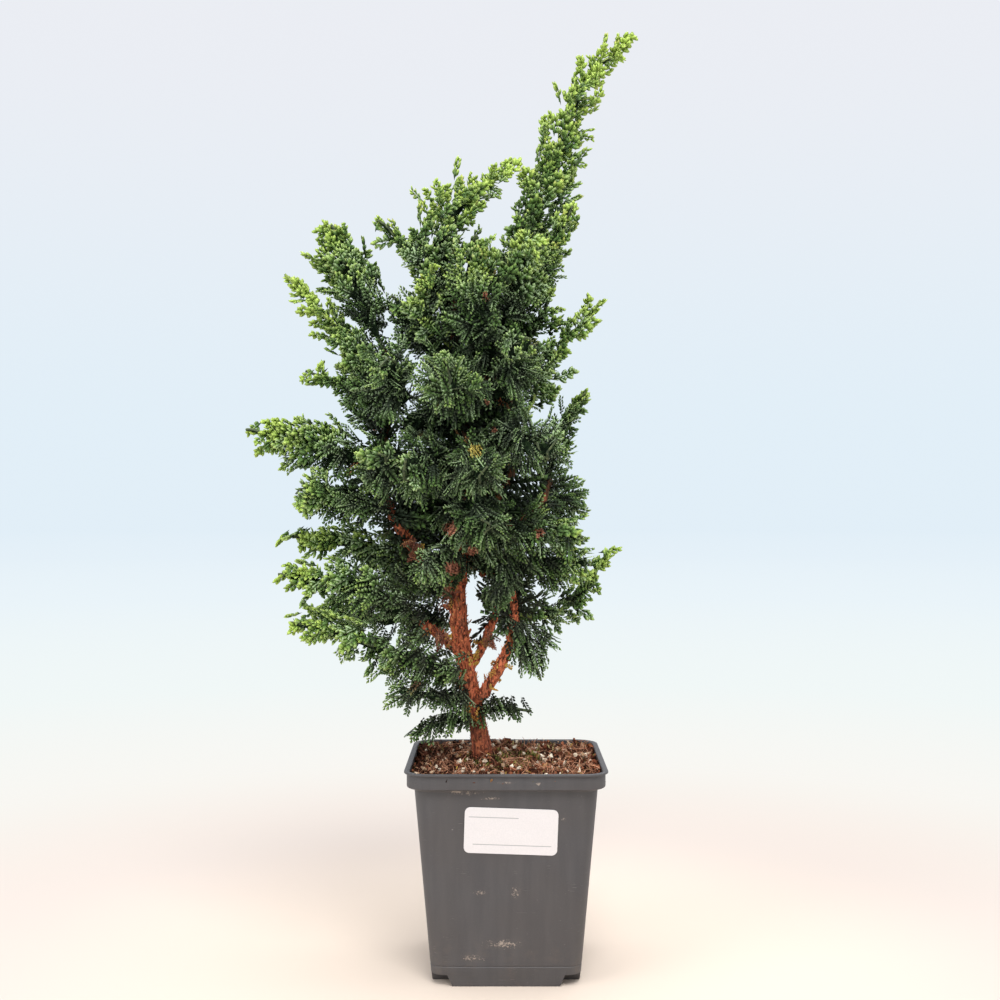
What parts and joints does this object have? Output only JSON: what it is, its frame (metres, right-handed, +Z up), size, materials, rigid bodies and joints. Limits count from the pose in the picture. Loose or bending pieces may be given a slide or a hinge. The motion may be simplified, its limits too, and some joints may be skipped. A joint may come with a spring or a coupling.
{
  "type": "hinoki cypress bonsai",
  "caption": "Young hinoki cypress with a leaning trunk and dense scale-leaved sprays, standing in a square tapered plastic nursery pot filled with peat.",
  "frame": {"origin": "the middle of the pot's foot, on the surface that it stands on", "axes": "+Z up the plant; -Y is the front, the side with the label; +X is to the right seen from the front"},
  "size_m": [0.2178, 0.1576, 0.5276],
  "materials": {
    "pot_plastic": "moulded dark grey plastic, scuffed and dusty",
    "label_paper": "bare white paper",
    "peat": "fibrous red-brown peat, rough",
    "bark": "red-brown bark that peels in strips",
    "leaf_deep": "dark bluish-green scale leaves, satin",
    "leaf_mid": "green scale leaves, satin",
    "leaf_bright": "yellow-green young scale leaves, satin",
    "leaf_withered": "dry russet to yellow scale leaves, matt"
  },
  "bodies": {
    "root": {"pot": "pot_plastic", "label": "label_paper", "soil": "peat", "trunk": "bark", "leader_spray": "leaf_bright", "leader_left_spray": "leaf_mid", "leader_right_spray": "leaf_mid", "leader_front_spray": "leaf_mid", "leader_back_spray": "leaf_mid", "upper_right_spray": "leaf_mid", "top_front_spray": "leaf_deep", "top_back_spray": "leaf_deep", "middle_top_spray": "leaf_bright", "middle_top_left_spray": "leaf_mid", "middle_bright_spray": "leaf_bright", "middle_back_spray": "leaf_mid", "left_column_spray": "leaf_mid", "left_upper_spray": "leaf_bright", "left_column_back_spray": "leaf_mid", "left_small_spray": "leaf_mid", "left_front_spray": "leaf_deep", "left_big_spray": "leaf_mid", "left_big_low_spray": "leaf_deep", "left_inner_spray": "leaf_deep", "left_middle_spray": "leaf_mid", "left_lower_spray": "leaf_mid", "left_lower_back_spray": "leaf_deep", "left_skirt_spray": "leaf_mid", "left_skirt_low_spray": "leaf_deep", "lowest_left_spray": "leaf_deep", "lowest_right_spray": "leaf_deep", "right_upper_spray": "leaf_bright", "right_inner_spray": "leaf_deep", "right_column_spray": "leaf_mid", "right_dome_spray": "leaf_mid", "right_dome_low_spray": "leaf_deep", "right_tip_spray": "leaf_bright", "right_low_spray": "leaf_deep", "right_low_front_spray": "leaf_deep", "right_low_back_spray": "leaf_deep", "right_back_spray": "leaf_deep", "right_back_upper_spray": "leaf_deep", "front_upper_spray": "leaf_deep", "front_middle_left_spray": "leaf_deep", "front_middle_spray": "leaf_deep", "front_middle_right_spray": "leaf_deep", "front_low_spray": "leaf_deep", "front_low_left_spray": "leaf_deep", "heart_top_spray": "leaf_deep", "heart_upper_spray": "leaf_deep", "heart_low_spray": "leaf_deep", "back_upper_spray": "leaf_deep", "back_middle_spray": "leaf_deep", "back_middle_left_spray": "leaf_deep", "back_low_spray": "leaf_deep", "back_low_left_spray": "leaf_deep", "withered_limb_root_spray": "leaf_withered", "withered_trunk_front_spray": "leaf_withered", "withered_stub_end_spray": "leaf_withered", "withered_fork_spray": "leaf_withered"}
  },
  "joints": []
}
